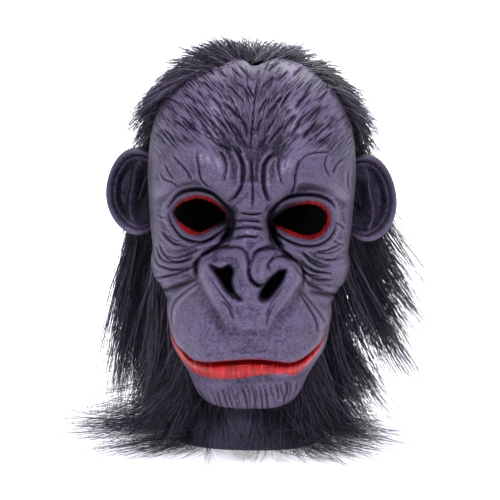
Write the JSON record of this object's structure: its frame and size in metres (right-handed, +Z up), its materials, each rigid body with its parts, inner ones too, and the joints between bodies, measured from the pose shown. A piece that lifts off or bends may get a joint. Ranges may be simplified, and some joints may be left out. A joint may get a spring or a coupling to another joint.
{
  "type": "gorilla mask",
  "caption": "Full-head gorilla mask: cast rubber face with ears and a neck band, open eyes and nostrils, and a fabric hood covered in long black fur.",
  "frame": {"origin": "inside top of the crown, where the mask rests on a head", "axes": "+Z up through the crown, the face looks toward -Y, +X is the wearer's left"},
  "size_m": [0.3265, 0.315, 0.3265],
  "materials": {
    "face_skin": "matt latex with red gloss paint on eye rims and lips",
    "hood_fabric": "black knitted backing",
    "fur": "long black acrylic fur, slightly shiny"
  },
  "bodies": {
    "root": {"face_casting": "face_skin", "hood_backing": "hood_fabric", "hood_fur": "fur", "collar_fur": "fur"}
  },
  "joints": []
}
